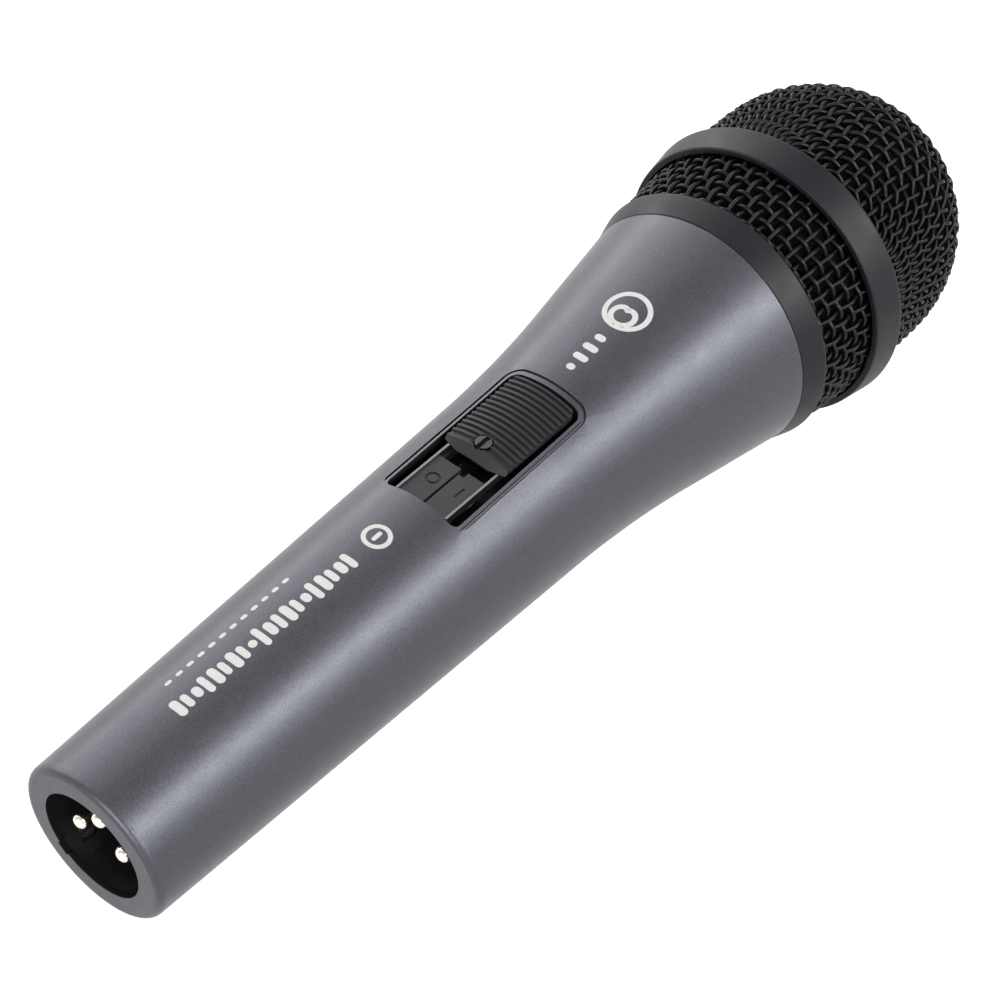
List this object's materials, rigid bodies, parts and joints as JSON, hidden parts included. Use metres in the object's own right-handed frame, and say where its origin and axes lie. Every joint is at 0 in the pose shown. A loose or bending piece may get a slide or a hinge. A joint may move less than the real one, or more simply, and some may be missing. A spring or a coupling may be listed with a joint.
{
  "type": "handheld dynamic microphone",
  "caption": "Handheld dynamic vocal microphone with a tapered metal handle, woven steel grille, elastic-mounted capsule, slide switch and a three-pin plug socket.",
  "frame": {"origin": "centre of the plug socket's mouth, on the flat tail face", "axes": "+X along the microphone's axis towards the grille's dome, +Z out through the slide switch, +Y completes the right-handed frame"},
  "size_m": [0.179, 0.048, 0.048],
  "materials": {
    "handle_paint": "satin metallic",
    "ring_grey": "satin",
    "mesh_black": "satin",
    "slider_plastic": "matte",
    "floor_plastic": "satin",
    "socket_plastic": "satin",
    "pin_metal": "polished",
    "dark_steel": "blackened",
    "bright_steel": "brushed",
    "magnet_nickel": "plated",
    "copper": "enamelled",
    "board_laminate": "gloss",
    "capsule_plastic": "matte",
    "foil": "clear film",
    "cloth": "woven",
    "felt": "felt",
    "foam": "open-cell foam",
    "rubber": "matte",
    "wire_insulation": "smooth"
  },
  "bodies": {
    "handle": {"handle_shell": "handle_paint", "socket_liner": "socket_plastic", "insert_screw": "dark_steel", "pin_insert": "socket_plastic", "contact_pin_1": "pin_metal", "contact_pin_2": "pin_metal", "contact_pin_3": "pin_metal", "ground_clip": "bright_steel", "floor_plate": "floor_plastic", "switch_rails": "dark_steel", "switch_tray": "floor_plastic", "circuit_board": "board_laminate", "contact_pads": "pin_metal", "board_screws": "bright_steel", "detent_spring": "bright_steel", "head_ring": "bright_steel", "shock_mount": "rubber", "capsule_leads": "wire_insulation", "socket_leads": "wire_insulation"},
    "basket": {"basket_collar": "ring_grey", "lower_mesh": "mesh_black", "basket_band": "ring_grey", "dome_mesh": "mesh_black", "foam_windscreen": "foam"},
    "capsule": {"capsule_housing": "capsule_plastic", "damping_felt": "felt", "magnet_yoke": "bright_steel", "ring_magnet": "magnet_nickel", "pole_piece": "bright_steel", "hum_coil": "copper", "terminal_board": "board_laminate", "diaphragm_surround": "foil", "diaphragm_clamp": "capsule_plastic", "capsule_cover": "capsule_plastic", "acoustic_cloth": "cloth"},
    "moving_coil": {"diaphragm": "foil", "voice_coil": "copper"},
    "slider": {"switch_slider": "slider_plastic", "slider_carriage": "slider_plastic", "contact_bridge": "pin_metal"},
    "lock": {"lock_screw": "dark_steel"}
  },
  "joints": [
    {"name": "switch_slide", "type": "slide", "parent": "handle", "child": "slider", "axis": [-1, 0, 0], "range_m": [0, 0.0102]},
    {"name": "switch_lock_turn", "type": "hinge", "parent": "slider", "child": "lock", "pos_m": [0.074, 0, 0.0138], "axis": [0, 0, 1], "range_deg": [0, 90]},
    {"name": "basket_off", "type": "slide", "parent": "handle", "child": "basket", "axis": [1, 0, 0], "range_m": [0, 0.055]},
    {"name": "capsule_float", "type": "slide", "parent": "handle", "child": "capsule", "axis": [1, 0, 0], "range_m": [-0.0008, 0.0008], "stiffness_N_per_m": 1500, "deforming": ["shock_mount", "capsule_leads"]},
    {"name": "diaphragm_travel", "type": "slide", "parent": "capsule", "child": "moving_coil", "axis": [1, 0, 0], "range_m": [-0.00025, 0.00025], "stiffness_N_per_m": 300, "deforming": ["diaphragm_surround"]}
  ]
}
